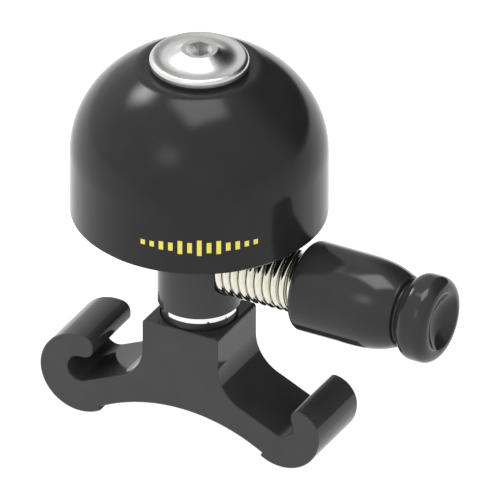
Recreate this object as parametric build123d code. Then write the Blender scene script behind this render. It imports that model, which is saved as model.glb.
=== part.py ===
from build123d import *
import os
from math import asin, cos, degrees, radians, sin, sqrt, tan

# Bicycle bell: a brass dome on a swivelling post, struck by a hammer that a
# close-wound spring holds beside it, on a saddle bracket with two strap hooks.
#
# Frame: millimetres. The origin is the middle of the saddle's highest line,
# where the handlebar touches. +Z is up the bell's axis, +X points along the
# striker, and Y runs along the handlebar.

# ---------------------------------------------------------------- driving sizes

# bracket
BRACKET_WIDTH = 9.68  # along the handlebar
BLOCK_HALF = 5.04  # half of the square block, along X
BLOCK_TOP = 10.88
BLOCK_EDGE = 0.4  # rounding of the block's top corners
SADDLE_RADIUS = 21.85
SADDLE_LIP_X = 10.9  # where the saddle ends in a small undercut lip
TOE_X = 10.7  # the lip's lower corner
HOOK_X = 13.42  # centre of the right hook
HOOK_Z = 0.98
HOOK_RADIUS = 5.12
CLOSED_HOOK_X = 13.5  # centre of the left hook, which is a little bigger
CLOSED_HOOK_Z = 1.05
CLOSED_HOOK_RADIUS = 5.19
SLOT_Z = 1.65  # centre of each round slot for the strap
SLOT_RADIUS = 1.65
ARM_SLOPE = radians(24.4)  # top of each arm
ARM_FILLET = 5.0
CLOSED_TIP_X = 11.72  # the left hook's tip
CLOSED_TIP_Z = 3.40
CLOSED_TIP_ROUND = 1.2
OPEN_TIP_X = 14.76  # the right hook's tip
OPEN_TIP_ROUND = 0.95
OPEN_TIP_UNDER_ROUND = 0.6
OPEN_SHOULDER_RADIUS = 3.15
EDGE_CHAMFER = 0.12

# swivel stack, from the bottom up
HEAD_POCKET_RADIUS = 3.85
HEAD_POCKET_TOP = 5.0
BASE_SCREW_RADIUS = 2.0  # M4
BASE_SCREW_PITCH = 0.7
BASE_SCREW_LENGTH = 12.0
BASE_SCREW_HEAD_RADIUS = 3.5
BASE_SCREW_HEAD_HEIGHT = 3.9
BASE_SCREW_HEX = 3.0  # across flats
SCREW_WASHER = 0.5
SWIVEL_CLEARANCE = 0.06  # between the screw and the bracket's bore, radial
RECESS_RADIUS = 4.65
RECESS_FLOOR = 10.08
GASKET_RADIUS = 4.48
WASHER_BOTTOM = 11.85
WASHER_RADIUS = 4.6
WASHER_EDGE = 0.08
POST_BOTTOM = 12.75

# post and dome
POST_RADIUS = 4.95
DOME_RADIUS = 15.26
DOME_RIM_Z = 25.07
DOME_SHOULDER_Z = 33.1  # where the straight wall turns into the crown
DOME_CROWN_HEIGHT = 13.2
DOME_TOP_Z = 44.67
DOME_TOP_ROUND = 2.0  # blends the crown into the flat seat for the bolt
DOME_WALL = 2.0
DOME_RIM_EDGE = 0.25
DOME_HOLE_RADIUS = 3.6
LOWER_WASHER = 0.8
UPPER_WASHER = 0.44
BOLT_RADIUS = 2.5  # M5
BOLT_PITCH = 0.8
BOLT_LENGTH = 12.0
BOLT_HEX = 3.0  # across flats
COLLAR_RADIUS = 5.9
COLLAR_HEIGHT = 0.92
COLLAR_EDGE = 0.5
VALLEY_RADIUS = 4.75  # where the button's foot runs out into the collar
VALLEY_HEIGHT = 0.84
BUTTON_HEIGHT = 1.9  # collar and button together
CROWN_RADIUS = 2.17
HEX_DEPTH = 2.1

# striker
STRIKER_Z = 18.74
SPRING_OUTER_RADIUS = 3.8
WIRE = 1.0
SPRING_PITCH = 1.07
POST_POCKET_X = 3.75
POST_POCKET_RADIUS = 3.86
SPRING_START = 255  # where the wire's end lies round the striker's axis, in degrees from below
STUD_RADIUS = 2.0  # M4
STUD_BACK_X = -3.4
STUD_FRONT_X = 5.6
HAMMER_BACK_X = 14.4
HAMMER_BACK_EDGE = 0.8
HAMMER_POCKET_X = 17.6
HAMMER_RADIUS = 5.5
BARREL_END_X = 21.5
BARREL_LIP_X = 27.45
BARREL_LIP_RADIUS = 4.35
NECK_X = 27.95
NECK_RADIUS = 3.85
KNOB_RADIUS = 5.3
KNOB_START_X = 28.28
KNOB_END_X = 32.55
KNOB_ROUND = 1.5
DISH_RIM_RADIUS = 3.3
DISH_DEPTH = 1.5  # from the knob's end to the dish's floor
INSERT_RADIUS = 3.4
INSERT_START_X = 14.9
INSERT_END_X = 22.6

GAP = 0.05  # radial play between pieces that are screwed or pushed together

# ---------------------------------------------------------------- worked out

POST_TOP = DOME_TOP_Z - DOME_WALL - LOWER_WASHER
BOLT_SEAT = DOME_TOP_Z + UPPER_WASHER
SCREW_SEAT = HEAD_POCKET_TOP - SCREW_WASHER
COIL_RADIUS = SPRING_OUTER_RADIUS - WIRE / 2
CORE_RADIUS = SPRING_OUTER_RADIUS - WIRE - GAP  # what the spring is wound on to

# ---------------------------------------------------------------- helpers


def tube(outer, inner, bottom, top):
    """A ring about Z from one height to another, or a plain disc if inner is 0."""
    ring = Cylinder(outer, top - bottom, align=(Align.CENTER, Align.CENTER, Align.MIN))
    if inner:
        ring -= Cylinder(inner, top - bottom, align=(Align.CENTER, Align.CENTER, Align.MIN))
    return Pos(0, 0, bottom) * ring


def turned(points):
    """A solid turned about Z from its (radius, height) corners."""
    with BuildPart() as solid:
        with BuildSketch(Plane.XZ):
            with BuildLine():
                Polyline(*points, close=True)
            make_face()
        revolve(axis=Axis.Z)
    return solid.part


def threaded_rod(radius, pitch, length, plain):
    """A rod up from Z = 0, grooved for its thread above a plain length."""
    depth = 0.54 * pitch
    outline = [(0, 0), (radius, 0), (radius, plain)]
    for turn in range(int((length - depth - plain) / pitch)):
        groove = plain + turn * pitch
        outline.append((radius - depth, groove + pitch / 2))
        outline.append((radius, groove + pitch))
    outline.append((radius, length - depth))
    outline.append((radius - depth, length))
    outline.append((0, length))
    return turned(outline)


def hex_socket(across_flats, depth):
    """The hole for a hexagon key, down from Z = 0, with the drill's cone at its floor."""
    hexagon = extrude(RegularPolygon(across_flats / sqrt(3), 6), amount=-depth)
    drill = Cone(0.05, across_flats / 2, 0.5, align=(Align.CENTER, Align.CENTER, Align.MAX))
    return hexagon + Pos(0, 0, -depth) * drill


def along_striker(solid):
    """Lay a solid that was made about +Z on to the striker's axis, along +X."""
    return Pos(0, 0, STRIKER_Z) * Rot(0, 90, 0) * solid


# ---------------------------------------------------------------- bracket


def bracket_profile():
    """The bracket's outline in X and Z: block, arms, saddle and two hooks."""
    arm_x = HOOK_X - SLOT_RADIUS * sin(ARM_SLOPE)
    arm_z = SLOT_Z - SLOT_RADIUS * cos(ARM_SLOPE)
    root_z = arm_z + (arm_x - BLOCK_HALF) * tan(ARM_SLOPE)
    lip_z = sqrt(SADDLE_RADIUS**2 - SADDLE_LIP_X**2) - SADDLE_RADIUS
    toe_z = HOOK_Z - sqrt(HOOK_RADIUS**2 - (HOOK_X - TOE_X) ** 2)
    left_toe_z = CLOSED_HOOK_Z - sqrt(CLOSED_HOOK_RADIUS**2 - (CLOSED_HOOK_X - TOE_X) ** 2)
    above = HOOK_Z + 2 * HOOK_RADIUS
    below = HOOK_Z - 2 * HOOK_RADIUS

    with BuildSketch(Plane.XZ) as outline:
        # right hook: the lower half of a ring, with a tighter shoulder on it
        with Locations((HOOK_X, HOOK_Z)):
            Circle(HOOK_RADIUS)
            upper_half = (Align.CENTER, Align.MIN)
            Rectangle(3 * HOOK_RADIUS, above, align=upper_half, mode=Mode.SUBTRACT)
        with Locations((HOOK_X + HOOK_RADIUS - OPEN_SHOULDER_RADIUS, HOOK_Z)):
            Circle(OPEN_SHOULDER_RADIUS)
        # left hook: nearly a full ring round its slot
        with Locations((-CLOSED_HOOK_X, CLOSED_HOOK_Z)):
            Circle(CLOSED_HOOK_RADIUS)
        # block and arms
        with BuildLine():
            Polyline(
                (-BLOCK_HALF, BLOCK_TOP),
                (BLOCK_HALF, BLOCK_TOP),
                (BLOCK_HALF, root_z),
                (arm_x, arm_z),
                (HOOK_X, toe_z),
                (0, toe_z),
                (0, left_toe_z),
                (-HOOK_X, left_toe_z),
                (-arm_x, arm_z),
                (-BLOCK_HALF, root_z),
                close=True,
            )
        make_face()
        # round slots for the strap's ends
        with Locations((-HOOK_X, SLOT_Z), (HOOK_X, SLOT_Z)):
            Circle(SLOT_RADIUS, mode=Mode.SUBTRACT)
        # mouths between the block and the hooks' tips
        with BuildLine():
            Polyline(
                (arm_x, arm_z),
                (BLOCK_HALF, root_z),
                (BLOCK_HALF, above),
                (OPEN_TIP_X, above),
                (OPEN_TIP_X, SLOT_Z),
                (HOOK_X, SLOT_Z),
                close=True,
            )
        make_face(mode=Mode.SUBTRACT)
        with BuildLine():
            Polyline(
                (-arm_x, arm_z),
                (-BLOCK_HALF, root_z),
                (-BLOCK_HALF, above),
                (-CLOSED_TIP_X, above),
                (-CLOSED_TIP_X, CLOSED_TIP_Z),
                (-HOOK_X, SLOT_Z + SLOT_RADIUS),
                (-HOOK_X, SLOT_Z),
                close=True,
            )
        make_face(mode=Mode.SUBTRACT)
        # saddle, with its undercut lips
        with BuildLine():
            ThreePointArc((-SADDLE_LIP_X, lip_z), (0, 0), (SADDLE_LIP_X, lip_z))
            Polyline(
                (SADDLE_LIP_X, lip_z),
                (TOE_X, toe_z),
                (TOE_X, below),
                (-TOE_X, below),
                (-TOE_X, left_toe_z),
                (-SADDLE_LIP_X, lip_z),
            )
        make_face(mode=Mode.SUBTRACT)

        tip_top = CLOSED_HOOK_Z + sqrt(CLOSED_HOOK_RADIUS**2 - (CLOSED_HOOK_X - CLOSED_TIP_X) ** 2)
        rounded_corners = [
            (-BLOCK_HALF, root_z, ARM_FILLET),
            (BLOCK_HALF, root_z, ARM_FILLET),
            (-BLOCK_HALF, BLOCK_TOP, BLOCK_EDGE),
            (BLOCK_HALF, BLOCK_TOP, BLOCK_EDGE),
            (-CLOSED_TIP_X, CLOSED_TIP_Z, CLOSED_TIP_ROUND),
            (-CLOSED_TIP_X, tip_top, CLOSED_TIP_ROUND),
            (OPEN_TIP_X, HOOK_Z + OPEN_SHOULDER_RADIUS, OPEN_TIP_ROUND),
            (OPEN_TIP_X, SLOT_Z + SLOT_RADIUS / 2, OPEN_TIP_UNDER_ROUND),
        ]
        for x, z, radius in rounded_corners:
            fillet(outline.vertices().sort_by_distance((x, z)).first, radius)
    return outline.sketch


def base_bracket():
    """The bracket: its profile drawn out along Y, with the swivel's bore and recesses."""
    body = extrude(bracket_profile(), amount=BRACKET_WIDTH / 2, both=True)
    ends = body.faces().filter_by(Axis.Y)
    body = chamfer(ends.edges(), EDGE_CHAMFER)
    body -= tube(RECESS_RADIUS, 0, RECESS_FLOOR, BLOCK_TOP + 1)
    body -= tube(HEAD_POCKET_RADIUS, 0, -1, HEAD_POCKET_TOP)
    body -= tube(BASE_SCREW_RADIUS + SWIVEL_CLEARANCE, 0, 0, BLOCK_TOP)
    return body


# ---------------------------------------------------------------- swivel


def swivel_gasket():
    """Rubber ring in the block's recess, under the polished washer."""
    return tube(GASKET_RADIUS, BASE_SCREW_RADIUS + 2 * GAP, RECESS_FLOOR, WASHER_BOTTOM)


def swivel_washer():
    """Thick polished washer between the gasket and the post."""
    ring = tube(WASHER_RADIUS, BASE_SCREW_RADIUS + GAP, WASHER_BOTTOM, POST_BOTTOM)
    return chamfer(ring.edges().group_by(Axis.Z)[0], WASHER_EDGE)


def screw_washer():
    """Flat washer between the base screw's head and the bracket."""
    return tube(BASE_SCREW_HEAD_RADIUS + GAP, BASE_SCREW_RADIUS + GAP, SCREW_SEAT, HEAD_POCKET_TOP)


def base_screw():
    """M4 cap screw from below, which holds the post and is the swivel's axle."""
    plain = POST_BOTTOM - SCREW_SEAT
    shank = threaded_rod(BASE_SCREW_RADIUS, BASE_SCREW_PITCH, BASE_SCREW_LENGTH, plain)
    head = tube(BASE_SCREW_HEAD_RADIUS, 0, -BASE_SCREW_HEAD_HEIGHT, 0)
    head = chamfer(head.edges().group_by(Axis.Z)[0], 0.3)
    socket = Rot(180, 0, 0) * hex_socket(BASE_SCREW_HEX, HEX_DEPTH)
    head -= Pos(0, 0, -BASE_SCREW_HEAD_HEIGHT) * socket
    return Pos(0, 0, SCREW_SEAT) * (shank + head)


def post():
    """The black post: threaded at both ends, with a cross hole for the striker's stud."""
    screw_end = SCREW_SEAT + BASE_SCREW_LENGTH
    bolt_end = BOLT_SEAT - BOLT_LENGTH
    body = tube(POST_RADIUS, 0, POST_BOTTOM, POST_TOP)
    body = chamfer(body.edges().group_by(Axis.Z)[-1], 0.3)
    body -= tube(BASE_SCREW_RADIUS + GAP, 0, POST_BOTTOM, screw_end + GAP)
    body -= tube(BOLT_RADIUS + GAP, 0, bolt_end - 1, POST_TOP)
    body -= along_striker(tube(POST_POCKET_RADIUS, 0, POST_POCKET_X, 2 * POST_RADIUS))
    body -= along_striker(tube(STUD_RADIUS + GAP, 0, STUD_BACK_X - GAP, POST_POCKET_X))
    return body


# ---------------------------------------------------------------- dome


def bell_body(radius, crown_height, bottom, top):
    """A solid bell: straight wall, then a quarter of an ellipse cut off flat at the top."""
    flat_angle = degrees(asin((top - DOME_SHOULDER_Z) / crown_height))
    with BuildPart() as solid:
        with BuildSketch(Plane.XZ):
            with BuildLine():
                crown = EllipticalCenterArc((0, DOME_SHOULDER_Z), radius, crown_height, 0, arc_size=flat_angle)
                Polyline(crown @ 1, (0, top), (0, bottom), (radius, bottom), crown @ 0)
            make_face()
        revolve(axis=Axis.Z)
    return solid.part


def dome():
    """The bell's dome: one thin brass shell, open at the bottom, with a bolt hole on top."""
    shell = bell_body(DOME_RADIUS, DOME_CROWN_HEIGHT, DOME_RIM_Z, DOME_TOP_Z)
    shell = fillet(shell.edges().group_by(Axis.Z)[-1], DOME_TOP_ROUND)
    hollow = bell_body(
        DOME_RADIUS - DOME_WALL,
        DOME_CROWN_HEIGHT - DOME_WALL,
        DOME_RIM_Z - 1,
        DOME_TOP_Z - DOME_WALL,
    )
    shell -= hollow
    shell -= tube(DOME_HOLE_RADIUS, 0, DOME_SHOULDER_Z, DOME_TOP_Z + 1)
    rim = shell.edges().filter_by(GeomType.CIRCLE).group_by(Axis.Z)[0]
    return chamfer(rim, DOME_RIM_EDGE)


def lower_dome_washer():
    """Nylon washer between the post's top and the dome."""
    return tube(POST_RADIUS - 0.1, BOLT_RADIUS + 2 * GAP, POST_TOP, POST_TOP + LOWER_WASHER)


def dome_bush():
    """Nylon sleeve that centres the dome on the bolt and lets it ring."""
    outer = DOME_HOLE_RADIUS - GAP
    return tube(outer, BOLT_RADIUS + 2 * GAP, DOME_TOP_Z - DOME_WALL, DOME_TOP_Z)


def upper_dome_washer():
    """Thin black washer between the dome and the bolt's collar."""
    return tube(COLLAR_RADIUS, BOLT_RADIUS + 2 * GAP, DOME_TOP_Z, BOLT_SEAT)


def dome_bolt():
    """M5 flanged button-head bolt through the dome into the post."""
    bead_start = (COLLAR_RADIUS - COLLAR_EDGE, COLLAR_HEIGHT)
    bead_end = (COLLAR_RADIUS, COLLAR_HEIGHT - COLLAR_EDGE)
    with BuildPart() as head:
        with BuildSketch(Plane.XZ):
            with BuildLine():
                Polyline(bead_end, (COLLAR_RADIUS, 0), (0, 0), (0, BUTTON_HEIGHT), (CROWN_RADIUS, BUTTON_HEIGHT))
                Spline(
                    (CROWN_RADIUS, BUTTON_HEIGHT),
                    (VALLEY_RADIUS, VALLEY_HEIGHT),
                    bead_start,
                    tangents=[(1, -0.75), (1, 0)],
                )
                RadiusArc(bead_start, bead_end, COLLAR_EDGE)
            make_face()
        revolve(axis=Axis.Z)
    shank = Rot(180, 0, 0) * threaded_rod(BOLT_RADIUS, BOLT_PITCH, BOLT_LENGTH, UPPER_WASHER + DOME_WALL)
    solid = head.part + shank
    solid -= Pos(0, 0, BUTTON_HEIGHT) * hex_socket(BOLT_HEX, HEX_DEPTH)
    return Pos(0, 0, BOLT_SEAT) * solid


# ---------------------------------------------------------------- striker


def spring_stud():
    """Stud across the post: threaded into it, with a boss that the spring is wound on."""
    shank = Rot(180, 0, 0) * threaded_rod(STUD_RADIUS, BASE_SCREW_PITCH, POST_POCKET_X - STUD_BACK_X, 0.5)
    boss = tube(CORE_RADIUS, 0, 0, STUD_FRONT_X - POST_POCKET_X)
    boss = chamfer(boss.edges().group_by(Axis.Z)[-1], 0.4)
    return along_striker(Pos(0, 0, POST_POCKET_X) * (shank + boss))


def striker_spring():
    """Close-wound spring from the post's pocket to the hammer's pocket."""
    start = POST_POCKET_X + WIRE / 2 + GAP
    length = HAMMER_POCKET_X - WIRE / 2 - GAP - start
    coil = Helix(SPRING_PITCH, length, COIL_RADIUS)
    section = Plane(coil @ 0, z_dir=coil % 0) * Circle(WIRE / 2)
    wire = sweep(section, path=coil, is_frenet=True)
    return along_striker(Pos(0, 0, start) * Rot(0, 0, SPRING_START) * wire)


def hammer_insert():
    """Brass insert moulded into the hammer, with a boss for the spring's other end."""
    outline = [(0, INSERT_START_X), (CORE_RADIUS - 0.4, INSERT_START_X), (CORE_RADIUS, INSERT_START_X + 0.4)]
    outline.append((CORE_RADIUS, HAMMER_POCKET_X))
    outline.append((INSERT_RADIUS, HAMMER_POCKET_X))
    grooves = 3
    land = (INSERT_END_X - HAMMER_POCKET_X) / (2 * grooves + 1)
    for groove in range(grooves):
        start = HAMMER_POCKET_X + land * (2 * groove + 1)
        outline.append((INSERT_RADIUS, start))
        outline.append((INSERT_RADIUS - 0.4, start))
        outline.append((INSERT_RADIUS - 0.4, start + land))
        outline.append((INSERT_RADIUS, start + land))
    outline.append((INSERT_RADIUS, INSERT_END_X))
    outline.append((0, INSERT_END_X))
    return along_striker(turned(outline))


def hammer():
    """The hammer: barrel, neck and a knob for the thumb with a dished end."""
    bore = INSERT_RADIUS + GAP
    bore_end = INSERT_END_X + GAP
    back = (HAMMER_RADIUS - HAMMER_BACK_EDGE, HAMMER_BACK_X)
    barrel = (HAMMER_RADIUS, HAMMER_BACK_X + HAMMER_BACK_EDGE)
    barrel_end = (HAMMER_RADIUS, BARREL_END_X)
    lip = (BARREL_LIP_RADIUS, BARREL_LIP_X)
    lip_end = (BARREL_LIP_RADIUS - 0.25, BARREL_LIP_X + 0.25)
    neck_start = (NECK_RADIUS, NECK_X - 0.2)
    neck_end = (NECK_RADIUS, NECK_X + 0.15)
    knob_start = (KNOB_RADIUS - 1.0, KNOB_START_X)
    widest = (KNOB_RADIUS, KNOB_END_X - KNOB_ROUND)
    crest = (KNOB_RADIUS - KNOB_ROUND, KNOB_END_X)
    dish_rim = (DISH_RIM_RADIUS, KNOB_END_X - 0.25)
    dish_floor = (0, KNOB_END_X - DISH_DEPTH)
    dish_rise = DISH_DEPTH - 0.25
    dish_radius = (DISH_RIM_RADIUS**2 + dish_rise**2) / (2 * dish_rise)
    dish_angle = degrees(asin(DISH_RIM_RADIUS / dish_radius))
    with BuildPart() as solid:
        with BuildSketch(Plane.XZ):
            with BuildLine():
                Polyline(
                    dish_floor,
                    (0, bore_end),
                    (bore, bore_end),
                    (bore, HAMMER_POCKET_X),
                    (POST_POCKET_RADIUS, HAMMER_POCKET_X),
                    (POST_POCKET_RADIUS, HAMMER_BACK_X),
                    back,
                )
                RadiusArc(back, barrel, -HAMMER_BACK_EDGE)
                Line(barrel, barrel_end)
                Spline(barrel_end, (HAMMER_RADIUS - 0.44, 25.6), lip, tangents=[(0, 1), (-0.5, 1)])
                RadiusArc(lip, lip_end, -0.3)
                Line(lip_end, neck_start)
                RadiusArc(neck_start, neck_end, 0.25)
                Line(neck_end, knob_start)
                Spline(knob_start, (KNOB_RADIUS - 0.17, 29.2), widest, tangents=[(1, 0.9), (0, 1)])
                RadiusArc(widest, crest, -KNOB_ROUND)
                TangentArc(crest, dish_rim, tangent=(-1, 0))
                CenterArc((0, dish_floor[1] + dish_radius), dish_radius, -90, dish_angle)
            make_face()
        revolve(axis=Axis.Z)
    return along_striker(solid.part)


# ---------------------------------------------------------------- write the pieces

PIECES = [
    base_bracket,
    swivel_gasket,
    swivel_washer,
    screw_washer,
    base_screw,
    post,
    lower_dome_washer,
    dome_bush,
    dome,
    upper_dome_washer,
    dome_bolt,
    spring_stud,
    striker_spring,
    hammer_insert,
    hammer,
]

os.makedirs("parts", exist_ok=True)
for piece in PIECES:
    export_step(piece(), "parts/" + piece.__name__ + ".step")
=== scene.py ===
import math

import bmesh
import bpy
from mathutils import Matrix, Vector


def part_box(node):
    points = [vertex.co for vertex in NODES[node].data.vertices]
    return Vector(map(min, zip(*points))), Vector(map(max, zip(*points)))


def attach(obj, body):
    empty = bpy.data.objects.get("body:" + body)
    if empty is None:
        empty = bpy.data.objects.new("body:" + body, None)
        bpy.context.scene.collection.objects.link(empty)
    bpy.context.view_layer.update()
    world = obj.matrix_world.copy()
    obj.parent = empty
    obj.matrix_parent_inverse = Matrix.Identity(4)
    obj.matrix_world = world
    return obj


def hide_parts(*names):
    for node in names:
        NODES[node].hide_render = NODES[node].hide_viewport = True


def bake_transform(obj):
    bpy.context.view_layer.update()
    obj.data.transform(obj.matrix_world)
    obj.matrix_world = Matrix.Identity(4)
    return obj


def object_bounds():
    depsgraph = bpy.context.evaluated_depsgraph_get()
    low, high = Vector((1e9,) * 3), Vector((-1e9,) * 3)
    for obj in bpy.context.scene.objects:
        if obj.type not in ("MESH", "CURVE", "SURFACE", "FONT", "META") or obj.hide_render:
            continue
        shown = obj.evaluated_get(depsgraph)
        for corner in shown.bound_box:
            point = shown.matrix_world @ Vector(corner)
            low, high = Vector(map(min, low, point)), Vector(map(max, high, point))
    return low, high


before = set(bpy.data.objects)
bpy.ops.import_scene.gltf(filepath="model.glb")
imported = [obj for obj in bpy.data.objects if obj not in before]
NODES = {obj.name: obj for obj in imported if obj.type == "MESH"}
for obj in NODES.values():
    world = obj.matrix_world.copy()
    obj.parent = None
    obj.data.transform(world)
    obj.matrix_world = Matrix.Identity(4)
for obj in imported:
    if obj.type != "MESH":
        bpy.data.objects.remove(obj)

# Looks for the bicycle bell: gloss black dome, bracket, post and hammer, bright bolt,
# washer and spring.
# Metres, in the row frame: +Z up the bell's axis, +X along the striker.

cad_low, cad_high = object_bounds()
MM = 0.001

VIEW_AZIMUTH = math.radians(28.3)
VIEW_ELEVATION = math.radians(31.3)

# ---------------------------------------------------------------- node helpers


class Surface:
    """A Principled material whose colour, roughness and bump come from procedural nodes."""

    def __init__(self, name, metallic=0.0, ior=1.5):
        self.material = bpy.data.materials.new(name)
        self.material.use_nodes = True
        self.tree = self.material.node_tree
        self.shader = self.tree.nodes["Principled BSDF"]
        self.shader.inputs["Metallic"].default_value = metallic
        self.shader.inputs["IOR"].default_value = ior
        self.place = self.tree.nodes.new("ShaderNodeTexCoord").outputs["Object"]

    def node(self, kind, **settings):
        made = self.tree.nodes.new(kind)
        for name, value in settings.items():
            setattr(made, name, value)
        return made

    def link(self, output, socket):
        self.tree.links.new(output, socket)

    def maths(self, operation, first, second=0.0):
        """One operation on two sockets or numbers."""
        made = self.node("ShaderNodeMath", operation=operation)
        for socket, value in zip(made.inputs, (first, second)):
            if isinstance(value, (int, float)):
                socket.default_value = value
            else:
                self.link(value, socket)
        return made.outputs[0]

    def noise(self, size, stretch=(1, 1, 1), detail=3.0, offset=0.0, place=None):
        """Noise with blotches of about this size in metres, drawn out along stretch."""
        mapping = self.node("ShaderNodeMapping")
        mapping.inputs["Location"].default_value = (offset, offset, offset)
        mapping.inputs["Scale"].default_value = [1 / (size * s) for s in stretch]
        self.link(place or self.place, mapping.inputs["Vector"])
        made = self.node("ShaderNodeTexNoise")
        made.inputs["Scale"].default_value = 1.0
        made.inputs["Detail"].default_value = detail
        self.link(mapping.outputs["Vector"], made.inputs["Vector"])
        return made.outputs["Fac"]

    def ranged(self, source, low, high, start=0.3, end=0.7):
        """Source, taken from start..end to low..high."""
        made = self.node("ShaderNodeMapRange")
        made.inputs["From Min"].default_value = start
        made.inputs["From Max"].default_value = end
        made.inputs["To Min"].default_value = low
        made.inputs["To Max"].default_value = high
        self.link(source, made.inputs["Value"])
        return made.outputs["Result"]

    def mixed(self, share, first, second):
        """One colour turning into another as share goes from 0 to 1."""
        made = self.node("ShaderNodeMix", data_type="RGBA")
        self.link(share, made.inputs["Factor"])
        for socket, value in ((made.inputs["A"], first), (made.inputs["B"], second)):
            if isinstance(value, tuple):
                socket.default_value = (*value, 1.0)
            else:
                self.link(value, socket)
        return made.outputs["Result"]

    def rings(self, size, centre=(0.0, 0.0), axis="Z"):
        """Fine turning marks: noise that depends only on the distance from an axis and along it."""
        parts = self.node("ShaderNodeSeparateXYZ")
        self.link(self.place, parts.inputs["Vector"])
        across = {"Z": ("X", "Y", "Z"), "X": ("Y", "Z", "X")}[axis]
        first = self.maths("SUBTRACT", parts.outputs[across[0]], centre[0])
        second = self.maths("SUBTRACT", parts.outputs[across[1]], centre[1])
        first_square = self.maths("MULTIPLY", first, first)
        second_square = self.maths("MULTIPLY", second, second)
        square = self.maths("ADD", first_square, second_square)
        joined = self.node("ShaderNodeCombineXYZ")
        self.link(self.maths("SQRT", square), joined.inputs["X"])
        self.link(parts.outputs[across[2]], joined.inputs["Y"])
        return self.noise(size, detail=2.0, place=joined.outputs["Vector"])

    def edges(self, width):
        """0 on open faces, rising to 1 on edges, over about this width in metres."""
        rounded = self.node("ShaderNodeBevel", samples=6)
        rounded.inputs["Radius"].default_value = width
        true = self.node("ShaderNodeNewGeometry")
        dot = self.node("ShaderNodeVectorMath", operation="DOT_PRODUCT")
        self.link(rounded.outputs["Normal"], dot.inputs[0])
        self.link(true.outputs["Normal"], dot.inputs[1])
        return self.ranged(dot.outputs["Value"], 0.0, 1.0, start=0.995, end=0.85)

    def colour(self, source):
        self.link(source, self.shader.inputs["Base Color"])

    def roughness(self, source):
        self.link(source, self.shader.inputs["Roughness"])

    def bump(self, source, height):
        """Relief of this height in metres."""
        made = self.node("ShaderNodeBump")
        made.inputs["Strength"].default_value = 1.0
        made.inputs["Distance"].default_value = height
        self.link(source, made.inputs["Height"])
        self.link(made.outputs["Normal"], self.shader.inputs["Normal"])


# ---------------------------------------------------------------- materials

ORANGE_PEEL = 0.0004 * MM  # height of the ripple in a black finish
TURNING_MARK = 0.05 * MM  # spacing of the marks on turned metal
BRACKET_EDGE = 0.1 * MM  # width of the painted highlight along the bracket's edges
# share of grey mixed in along the edges as a painted highlight
BRACKET_EDGE_SHARE = 0.3


def gloss_black(name, dark, light, gloss, ior):
    """Black with a smooth finish: faint clouding, handling marks and a trace of orange peel."""
    s = Surface(name, ior=ior)
    clouds = s.noise(4 * MM)
    s.colour(s.mixed(s.ranged(clouds, 0.0, 1.0), dark, light))
    smears = s.noise(1.2 * MM, stretch=(1, 6, 2), offset=3.0)
    fine = s.noise(0.25 * MM, offset=7.0)
    marks = s.maths("ADD", s.ranged(smears, 0.0, 0.03), s.ranged(fine, 0.0, 0.02))
    s.roughness(s.maths("ADD", marks, gloss))
    s.bump(s.noise(0.9 * MM, offset=11.0, detail=1.0), ORANGE_PEEL)
    return s


def make_bracket_black():
    s = gloss_black("bracket_black", (0.044, 0.044, 0.045), (0.050, 0.050, 0.051), gloss=0.07, ior=1.32)
    base = s.shader.inputs["Base Color"].links[0].from_socket
    # Painted highlight: the bracket's edges are lightened towards grey, standing in for the light caught
    # along them.
    edge_highlight = s.maths("MULTIPLY", s.edges(BRACKET_EDGE), BRACKET_EDGE_SHARE)
    s.colour(s.mixed(edge_highlight, base, (0.16, 0.16, 0.165)))
    return s.material


def make_post_black():
    s = gloss_black("post_black", (0.034, 0.034, 0.035), (0.039, 0.039, 0.040), gloss=0.08, ior=1.38)
    return s.material


def make_dome_black():
    s = gloss_black("dome_black", (0.0155, 0.0155, 0.016), (0.0185, 0.0185, 0.019), gloss=0.13, ior=1.30)
    return s.material


def make_hammer_black():
    s = gloss_black("hammer_black", (0.021, 0.021, 0.0215), (0.025, 0.025, 0.0255), gloss=0.07, ior=1.38)
    return s.material


def polished_metal(name, tone, shade, gloss, marks, relief=0.0003 * MM, axis="Z", centre=(0.0, 0.0)):
    """Bright metal with fine turning marks about an axis."""
    s = Surface(name, metallic=1.0)
    rings = s.rings(TURNING_MARK, centre, axis)
    s.colour(s.mixed(s.ranged(s.noise(1.5 * MM), 0.0, 1.0), tone, shade))
    s.roughness(s.ranged(rings, gloss, gloss + marks))
    s.bump(rings, relief)
    return s.material


def make_spring_nickel():
    s = Surface("spring_nickel", metallic=1.0)
    s.colour(s.mixed(s.ranged(s.noise(0.8 * MM), 0.0, 1.0), (0.77, 0.76, 0.665), (0.70, 0.69, 0.60)))
    s.roughness(s.ranged(s.noise(0.2 * MM, offset=5.0), 0.06, 0.12))
    s.bump(s.noise(0.12 * MM, offset=9.0), 0.0004 * MM)
    return s.material


def matt(name, dark, light, rough, grain):
    """Matt rubber or plastic with a fine grain."""
    s = Surface(name)
    speckle = s.noise(grain)
    s.colour(s.mixed(s.ranged(speckle, 0.0, 1.0), dark, light))
    s.roughness(s.ranged(s.noise(3 * grain, offset=2.0), rough - 0.08, rough + 0.08))
    s.bump(speckle, 0.004 * MM)
    return s.material


def make_mark_yellow():
    s = Surface("mark_yellow")
    s.colour(s.mixed(s.ranged(s.noise(0.4 * MM), 0.0, 1.0), (0.80, 0.70, 0.115), (0.74, 0.64, 0.10)))
    s.roughness(s.ranged(s.noise(0.3 * MM, offset=4.0), 0.3, 0.4))
    s.bump(s.noise(0.15 * MM, offset=6.0), 0.001 * MM)
    return s.material


striker_z = (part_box("striker_spring")[0].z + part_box("striker_spring")[1].z) / 2

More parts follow.
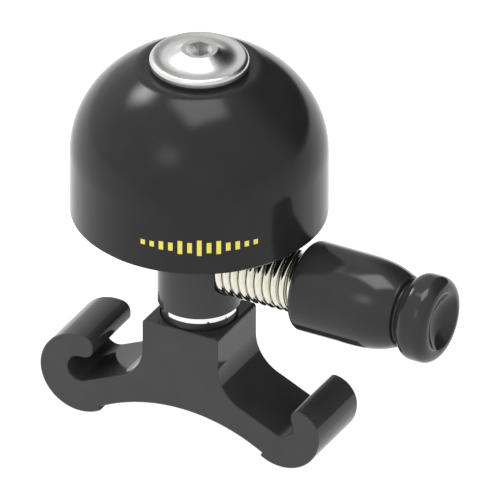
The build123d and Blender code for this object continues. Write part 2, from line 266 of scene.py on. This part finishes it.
MATERIALS = {
    "bracket_black": make_bracket_black(),
    "post_black": make_post_black(),
    "dome_black": make_dome_black(),
    "hammer_black": make_hammer_black(),
    "gasket_rubber": matt(
        "gasket_rubber", (0.010, 0.010, 0.010), (0.016, 0.016, 0.016), rough=0.5, grain=0.08 * MM
    ),
    "washer_black": matt(
        "washer_black", (0.008, 0.008, 0.008), (0.013, 0.013, 0.013), rough=0.45, grain=0.08 * MM
    ),
    "nylon_natural": matt(
        "nylon_natural", (0.74, 0.71, 0.62), (0.82, 0.79, 0.71), rough=0.45, grain=0.15 * MM
    ),
    "washer_steel": polished_metal(
        "washer_steel", (0.88, 0.88, 0.87), (0.84, 0.84, 0.83), gloss=0.04, marks=0.03
    ),
    "screw_steel": polished_metal(
        "screw_steel", (0.58, 0.58, 0.57), (0.48, 0.48, 0.475), gloss=0.22, marks=0.10
    ),
    "bolt_steel": polished_metal(
        "bolt_steel",
        (0.72, 0.715, 0.705),
        (0.68, 0.675, 0.665),
        gloss=0.26,
        marks=0.05,
        relief=0.00005 * MM,
    ),
    "insert_brass": polished_metal(
        "insert_brass",
        (0.78, 0.58, 0.27),
        (0.70, 0.51, 0.22),
        gloss=0.18,
        marks=0.08,
        axis="X",
        centre=(0.0, striker_z),
    ),
    "spring_nickel": make_spring_nickel(),
    "mark_yellow": make_mark_yellow(),
}


# ---------------------------------------------------------------- finish on the CAD nodes

NODE_SLOTS = {
    "base_bracket": "bracket_black",
    "swivel_gasket": "gasket_rubber",
    "swivel_washer": "washer_steel",
    "screw_washer": "screw_steel",
    "base_screw": "screw_steel",
    "post": "post_black",
    "lower_dome_washer": "nylon_natural",
    "dome_bush": "nylon_natural",
    "dome": "dome_black",
    "upper_dome_washer": "washer_black",
    "dome_bolt": "bolt_steel",
    "spring_stud": "screw_steel",
    "striker_spring": "spring_nickel",
    "hammer_insert": "insert_brass",
    "hammer": "hammer_black",
}

for node, slot in NODE_SLOTS.items():
    shown = NODES[node]
    if not shown.material_slots:
        shown.data.materials.append(None)
    for place in shown.material_slots:
        place.material = MATERIALS[slot]

# ---------------------------------------------------------------- striker spring

SPRING_LOW, SPRING_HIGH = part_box("striker_spring")
WIRE_RADIUS = 0.5 * MM
SPRING_PITCH = 1.07 * MM
COIL_RADIUS = (SPRING_HIGH.y - SPRING_LOW.y) / 2 - WIRE_RADIUS
SPRING_START = math.radians(255)  # where the wire's end lies round the striker's axis, from below
RINGS_PER_TURN = 60
WIRE_SIDES = 20
SPLIT_BACK = 0.75 * MM  # how far behind the middle of the free coils the two lengths meet


def spring_wire(name, start_turn, end_turn):
    """A length of the spring's wire, from one turn to another, closed at both ends."""
    mesh = bpy.data.meshes.new(name)
    shape = bmesh.new()
    steps = round((end_turn - start_turn) * RINGS_PER_TURN)
    rings = []
    for step in range(steps + 1):
        turned = start_turn + step / RINGS_PER_TURN
        angle = SPRING_START + 2 * math.pi * turned
        outward = Vector((0, math.sin(angle), -math.cos(angle)))
        across = COIL_RADIUS * math.cos(angle)
        upward = COIL_RADIUS * math.sin(angle)
        onward = Vector((SPRING_PITCH / (2 * math.pi), across, upward))
        side = onward.normalized().cross(outward)
        along = SPRING_LOW.x + WIRE_RADIUS + SPRING_PITCH * turned
        centre = Vector((along, 0, striker_z)) + outward * COIL_RADIUS
        ring = []
        for corner in range(WIRE_SIDES):
            turn = 2 * math.pi * corner / WIRE_SIDES
            offset = (outward * math.cos(turn) + side * math.sin(turn)) * WIRE_RADIUS
            ring.append(shape.verts.new(centre + offset))
        rings.append(ring)
    for one, two in zip(rings, rings[1:]):
        for corner in range(WIRE_SIDES):
            after = (corner + 1) % WIRE_SIDES
            face = shape.faces.new((one[corner], one[after], two[after], two[corner]))
            face.smooth = True
    shape.faces.new(rings[0])
    shape.faces.new(list(reversed(rings[-1])))
    bmesh.ops.recalc_face_normals(shape, faces=shape.faces)
    shape.to_mesh(mesh)
    shape.free()
    piece = bpy.data.objects.new(name, mesh)
    bpy.context.scene.collection.objects.link(piece)
    piece.data.materials.append(MATERIALS["spring_nickel"])
    return piece


def make_spring():
    """Two lengths of one wire, meeting a little behind the middle of the free coils."""
    post_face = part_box("post")[1].x
    hammer_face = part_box("hammer")[0].x
    turns = (SPRING_HIGH.x - SPRING_LOW.x - 2 * WIRE_RADIUS) / SPRING_PITCH
    middle = (post_face + hammer_face) / 2 - SPLIT_BACK
    split = round((middle - SPRING_LOW.x - WIRE_RADIUS) / SPRING_PITCH * RINGS_PER_TURN) / RINGS_PER_TURN
    rear = spring_wire("spring_coils_rear", 0.0, split)
    front = spring_wire("spring_coils_front", split, turns)
    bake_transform(rear)
    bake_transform(front)
    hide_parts("striker_spring")
    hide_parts("striker_spring")


make_spring()

# ---------------------------------------------------------------- mark on the dome

MARK_BARS = 13
MARK_PITCH = math.radians(4.3)
MARK_BAR_WIDTH = math.radians(2.1)
MARK_PROUD = 0.02 * MM
MARK_HEIGHT = 2.1 * MM
MARK_ABOVE_RIM = 3.75 * MM  # from the dome's rim to the middle of the row
MARK_LEAST = 0.3  # share of the full height that every bar has
MARK_DROP = 0.45  # how much less every other bar swells
MARK_STEPS = 3  # flats that follow the dome's curve across one bar


def make_mark():
    """A plain row of painted bars, tall and short by turns, on the dome's straight wall."""
    low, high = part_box("dome")
    radius = high.y
    middle = low.z + MARK_ABOVE_RIM
    shape = bmesh.new()
    for bar in range(MARK_BARS):
        place = bar - (MARK_BARS - 1) / 2
        swell = math.cos(place / MARK_BARS * math.pi) ** 2
        height = MARK_HEIGHT * (MARK_LEAST + (1 - MARK_LEAST) * swell * (1 - MARK_DROP * (bar % 2)))
        start = VIEW_AZIMUTH + place * MARK_PITCH - MARK_BAR_WIDTH / 2
        for step in range(MARK_STEPS):
            corners = []
            for turn in (step, step + 1):
                angle = start + MARK_BAR_WIDTH * turn / MARK_STEPS
                for r in (radius - MARK_PROUD, radius + MARK_PROUD):
                    for z in (middle - height / 2, middle + height / 2):
                        corners.append(shape.verts.new((r * math.sin(angle), -r * math.cos(angle), z)))
            a, b, c, d, e, f, g, h = corners
            shape.faces.new((c, d, h, g))
            shape.faces.new((a, e, f, b))
            shape.faces.new((a, c, g, e))
            shape.faces.new((b, f, h, d))
            if step == 0:
                shape.faces.new((a, b, d, c))
            if step == MARK_STEPS - 1:
                shape.faces.new((e, g, h, f))
    bmesh.ops.remove_doubles(shape, verts=shape.verts, dist=1e-7)
    bmesh.ops.recalc_face_normals(shape, faces=shape.faces)
    mesh = bpy.data.meshes.new("dome_mark")
    shape.to_mesh(mesh)
    shape.free()
    piece = bpy.data.objects.new("dome_mark", mesh)
    bpy.context.scene.collection.objects.link(piece)
    piece.data.materials.append(MATERIALS["mark_yellow"])
    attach(piece, "head")


make_mark()

# ---------------------------------------------------------------- floor, light and camera

FLOOR_HALF = 1.5
FLOOR_GLOW_REACH = 60 * MM  # the glow changes over this far on each side of the bell
FLOOR_BRIGHT_SIDE = -125  # azimuth
SOFTBOX_DISTANCE = 0.6
DARK_SIDE = (160, 18)  # azimuth and elevation of the studio's dark side
FRAME_HEIGHT = 58.82 * MM
AIM_RIGHT = 5.788 * MM  # from the origin to the picture's middle
AIM_UP = 16.494 * MM
CAMERA_DISTANCE = 0.5


def toward(azimuth, elevation):
    """The direction out from the bell, in degrees: azimuth 0 is -Y and 90 is +X."""
    a, e = math.radians(azimuth), math.radians(elevation)
    return Vector((math.sin(a) * math.cos(e), -math.cos(a) * math.cos(e), math.sin(e)))


def make_floor():
    """A white floor under the bracket's hooks, lit from within, a little brighter at the back left."""
    half = FLOOR_HALF
    mesh = bpy.data.meshes.new("floor")
    corners = [(-half, -half, 0), (half, -half, 0), (half, half, 0), (-half, half, 0)]
    mesh.from_pydata(corners, [], [(0, 1, 2, 3)])
    floor = bpy.data.objects.new("floor", mesh)
    floor.location.z = cad_low.z
    bpy.context.scene.collection.objects.link(floor)
    s = Surface("floor_white")
    across = s.node("ShaderNodeVectorMath", operation="DOT_PRODUCT")
    across.inputs[1].default_value = toward(FLOOR_BRIGHT_SIDE, 0)
    s.link(s.place, across.inputs[0])
    glow = s.ranged(across.outputs["Value"], 0.86, 1.16, start=-FLOOR_GLOW_REACH, end=FLOOR_GLOW_REACH)
    s.link(glow, s.shader.inputs["Emission Strength"])
    s.shader.inputs["Base Color"].default_value = (0.16, 0.16, 0.16, 1)
    s.shader.inputs["Roughness"].default_value = 0.9
    s.shader.inputs["Specular IOR Level"].default_value = 0.0
    s.shader.inputs["Emission Color"].default_value = (1, 1, 1, 1)
    mesh.materials.append(s.material)


def softbox(name, azimuth, elevation, width, brightness, edge, turn=0.0):
    """A square light of this width in metres, facing the bell and fading over its edges.

    Brightness 1 is as bright as the world; edge is the faded share of the width on each side.
    """
    light = bpy.data.lights.new(name, "AREA")
    light.shape = "SQUARE"
    light.size = width
    light.energy = brightness * math.pi * width**2
    light.use_nodes = True
    nodes, links = light.node_tree.nodes, light.node_tree.links
    corner = nodes.new("ShaderNodeSeparateXYZ")
    links.new(nodes.new("ShaderNodeNewGeometry").outputs["Parametric"], corner.inputs["Vector"])
    fades = []
    for side in ("X", "Y"):
        off_centre = nodes.new("ShaderNodeMath")
        off_centre.operation = "SUBTRACT"
        off_centre.inputs[1].default_value = 0.5
        links.new(corner.outputs[side], off_centre.inputs[0])
        distance_out = nodes.new("ShaderNodeMath")
        distance_out.operation = "ABSOLUTE"
        links.new(off_centre.outputs["Value"], distance_out.inputs[0])
        fade = nodes.new("ShaderNodeMapRange")
        fade.interpolation_type = "SMOOTHSTEP"
        fade.inputs["From Min"].default_value = 0.5
        fade.inputs["From Max"].default_value = 0.5 - edge
        links.new(distance_out.outputs["Value"], fade.inputs["Value"])
        fades.append(fade.outputs["Result"])
    both = nodes.new("ShaderNodeMath")
    both.operation = "MULTIPLY"
    links.new(fades[0], both.inputs[0])
    links.new(fades[1], both.inputs[1])
    links.new(both.outputs["Value"], nodes["Emission"].inputs["Strength"])
    lamp = bpy.data.objects.new(name, light)
    lamp.location = (cad_low + cad_high) / 2 + toward(azimuth, elevation) * SOFTBOX_DISTANCE
    facing = toward(azimuth, elevation).to_track_quat("Z", "Y").to_matrix().to_4x4()
    spin = Matrix.Rotation(math.radians(turn), 4, "Z")
    lamp.rotation_euler = (facing @ spin).to_euler()
    bpy.context.scene.collection.objects.link(lamp)


def make_world():
    """An even white studio with one dark side, behind and to the right; the backdrop itself is white."""
    world = bpy.data.worlds.new("studio")
    world.use_nodes = True
    nodes, links = world.node_tree.nodes, world.node_tree.links

    def ranged(source, smooth, start, end, low, high):
        made = nodes.new("ShaderNodeMapRange")
        made.interpolation_type = smooth
        made.inputs["From Min"].default_value = math.cos(math.radians(start))
        made.inputs["From Max"].default_value = math.cos(math.radians(end))
        made.inputs["To Min"].default_value = low
        made.inputs["To Max"].default_value = high
        links.new(source, made.inputs["Value"])
        return made.outputs["Result"]

    def maths(operation, first, second):
        made = nodes.new("ShaderNodeMath")
        made.operation = operation
        links.new(first, made.inputs[0])
        links.new(second, made.inputs[1])
        return made.outputs["Value"]

    facing = nodes.new("ShaderNodeVectorMath")
    facing.operation = "DOT_PRODUCT"
    facing.inputs[1].default_value = toward(*DARK_SIDE)
    links.new(nodes.new("ShaderNodeTexCoord").outputs["Generated"], facing.inputs[0])
    away = facing.outputs["Value"]
    dark_side = ranged(away, "SMOOTHSTEP", 25, 52, 0.0, 1.0)
    fall_off = ranged(away, "LINEAR", 50, 115, 0.78, 1.04)
    shade = maths("MULTIPLY", dark_side, fall_off)
    backdrop = nodes.new("ShaderNodeLightPath").outputs["Is Camera Ray"]
    links.new(maths("MAXIMUM", shade, backdrop), nodes["Background"].inputs["Strength"])
    nodes["Background"].inputs["Color"].default_value = (1, 1, 1, 1)
    bpy.context.scene.world = world


def make_camera():
    """Level, with no perspective, looking down on the bell from the front right."""
    a, e = VIEW_AZIMUTH, VIEW_ELEVATION
    right = Vector((math.cos(a), math.sin(a), 0))
    up = Vector((-math.sin(e) * math.sin(a), math.sin(e) * math.cos(a), math.cos(e)))
    back = toward(math.degrees(a), math.degrees(e))
    camera = bpy.data.cameras.new("camera")
    camera.type = "ORTHO"
    camera.ortho_scale = FRAME_HEIGHT
    camera.clip_start = 0.01
    camera.clip_end = 10.0
    holder = bpy.data.objects.new("camera", camera)
    holder.location = right * AIM_RIGHT + up * AIM_UP + back * CAMERA_DISTANCE
    holder.rotation_euler = back.to_track_quat("Z", "Y").to_euler()
    bpy.context.scene.collection.objects.link(holder)
    bpy.context.scene.camera = holder


make_floor()
make_world()
softbox("softbox_overhead", azimuth=0, elevation=90, width=0.44, brightness=5.2, edge=0.24, turn=54)
softbox("softbox_key", azimuth=-97, elevation=48, width=0.30, brightness=17.0, edge=0.5)
softbox("softbox_front", azimuth=-6, elevation=36, width=0.34, brightness=2.0, edge=0.5)
make_camera()
bpy.context.scene.view_settings.view_transform = "Standard"
